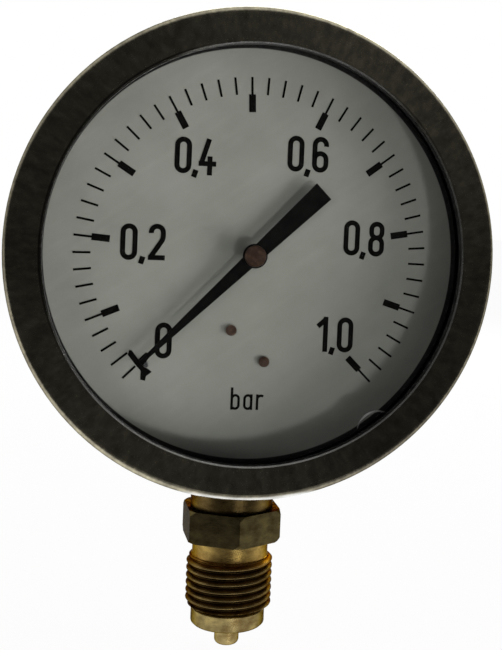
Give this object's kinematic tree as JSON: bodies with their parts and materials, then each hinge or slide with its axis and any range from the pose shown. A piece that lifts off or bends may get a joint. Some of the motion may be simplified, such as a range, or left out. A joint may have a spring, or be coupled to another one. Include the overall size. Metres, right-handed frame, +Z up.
{
  "type": "Bourdon tube pressure gauge",
  "caption": "Round dial pressure gauge with a lower threaded brass connection, steel ring, flat window and a Bourdon tube movement that turns the pointer.",
  "frame": {"origin": "on the axis of the connection thread, at the end of the thread nearest the wrench hexagon", "axes": "+Z up the stem towards the pointer axis, +Y away from the reader, +X to the reader's right"},
  "size_m": [0.107, 0.0499, 0.1496],
  "materials": {
    "polished_steel": "polished",
    "case_steel": "satin",
    "glass": "gloss",
    "black_rubber": "matte",
    "screw_steel": "satin",
    "brass": "machined",
    "tube_bronze": "satin",
    "spring_bronze": "satin",
    "white_dial": "matte paint",
    "copper": "satin",
    "pin_steel": "polished",
    "black_paint": "satin"
  },
  "bodies": {
    "housing": {"case": "case_steel", "bezel_ring": "polished_steel", "window": "glass", "window_gasket": "black_rubber", "blowout_plug": "black_rubber", "case_screws": "screw_steel", "stem": "brass", "bourdon_tube": "tube_bronze", "dial": "white_dial", "dial_posts": "brass", "dial_screws": "copper", "stop_pin": "pin_steel", "movement_back_plate": "brass", "movement_front_plate": "brass", "movement_pillars": "brass", "pillar_screws": "screw_steel", "movement_screws": "screw_steel", "hairspring": "spring_bronze", "hairspring_stud": "brass"},
    "sector": {"sector_gear": "brass", "sector_arbor": "pin_steel", "link_tail_pin": "pin_steel"},
    "pointer_arbor": {"pinion_arbor": "pin_steel", "hairspring_collet": "brass", "pointer": "black_paint", "pointer_bush": "black_paint", "pointer_cap": "copper"},
    "tube_tip": {"tube_end_piece": "brass", "link_tip_pin": "pin_steel"},
    "link": {"link": "brass"}
  },
  "joints": [
    {"name": "sector_turn", "type": "hinge", "parent": "housing", "child": "sector", "pos_m": [0, -0.0106, 0.052], "axis": [0, -1, 0], "range_deg": [0, 25.45], "stiffness_Nm_per_rad": 0.1},
    {"name": "pointer_turn", "type": "hinge", "parent": "housing", "child": "pointer_arbor", "pos_m": [0, -0.02, 0.0736], "axis": [0, 1, 0], "range_deg": [0, 280], "deforming": ["hairspring"]},
    {"name": "tube_tip_travel", "type": "slide", "parent": "housing", "child": "tube_tip", "axis": [0.5707, 0, 0.8211], "range_m": [0, 0.00421], "deforming": ["bourdon_tube"]},
    {"name": "link_swing", "type": "hinge", "parent": "tube_tip", "child": "link", "pos_m": [0.02608, -0.0122, 0.05838], "axis": [0, -1, 0], "range_deg": [0, 3.1]}
  ],
  "couplings": [
    {"joint": "pointer_turn", "follows": "sector_turn", "ratio": 11},
    {"joint": "tube_tip_travel", "follows": "sector_turn", "m_per_rad": 0.0094763},
    {"joint": "link_swing", "follows": "sector_turn", "ratio": 0.12179}
  ]
}
